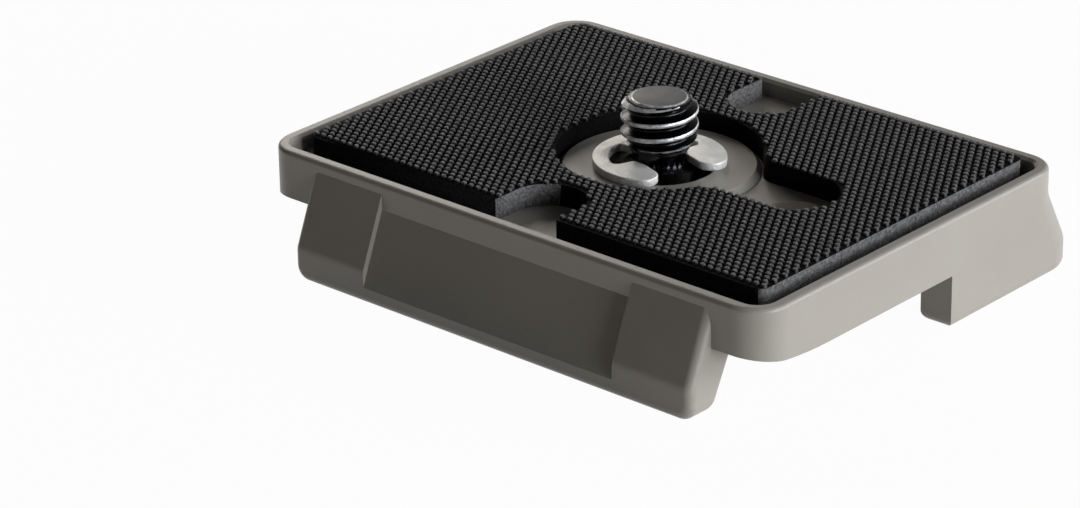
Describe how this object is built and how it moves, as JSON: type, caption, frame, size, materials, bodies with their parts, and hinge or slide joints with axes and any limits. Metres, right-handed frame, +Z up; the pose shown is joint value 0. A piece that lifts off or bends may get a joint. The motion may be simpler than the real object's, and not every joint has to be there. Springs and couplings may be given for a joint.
{
  "type": "tripod quick release plate",
  "caption": "Rectangular cast camera plate with flared dovetail rails below, a textured rubber grip pad with a keyhole opening, and a captive camera screw with a spring clip and folding ring.",
  "frame": {"origin": "on the camera screw's axis, level with the feet of the dovetail rails", "axes": "+X along the long side towards the keyhole's tail, +Y across the plate towards the full-length rail, +Z up along the camera screw"},
  "size_m": [0.0524, 0.0434, 0.0147],
  "materials": {
    "plate_paint": "satin",
    "pad_rubber": "matte",
    "screw_steel": "satin",
    "clip_steel": "satin",
    "ring_wire": "satin"
  },
  "bodies": {
    "plate": {"plate_body": "plate_paint", "grip_pad": "pad_rubber"},
    "clip": {"retaining_clip": "clip_steel"},
    "screw": {"camera_screw": "screw_steel"},
    "ring": {"d_ring": "ring_wire"}
  },
  "joints": [
    {"name": "screw_lift", "type": "slide", "parent": "plate", "child": "clip", "axis": [0, 0, 1], "range_m": [0, 0.00115]},
    {"name": "screw_spin", "type": "hinge", "parent": "clip", "child": "screw", "pos_m": [0, 0, 0.0031], "axis": [0, 0, 1], "continuous": true},
    {"name": "ring_fold", "type": "hinge", "parent": "screw", "child": "ring", "pos_m": [0, 0, 0.0031], "axis": [-1, 0, 0], "range_deg": [0, 180]}
  ]
}
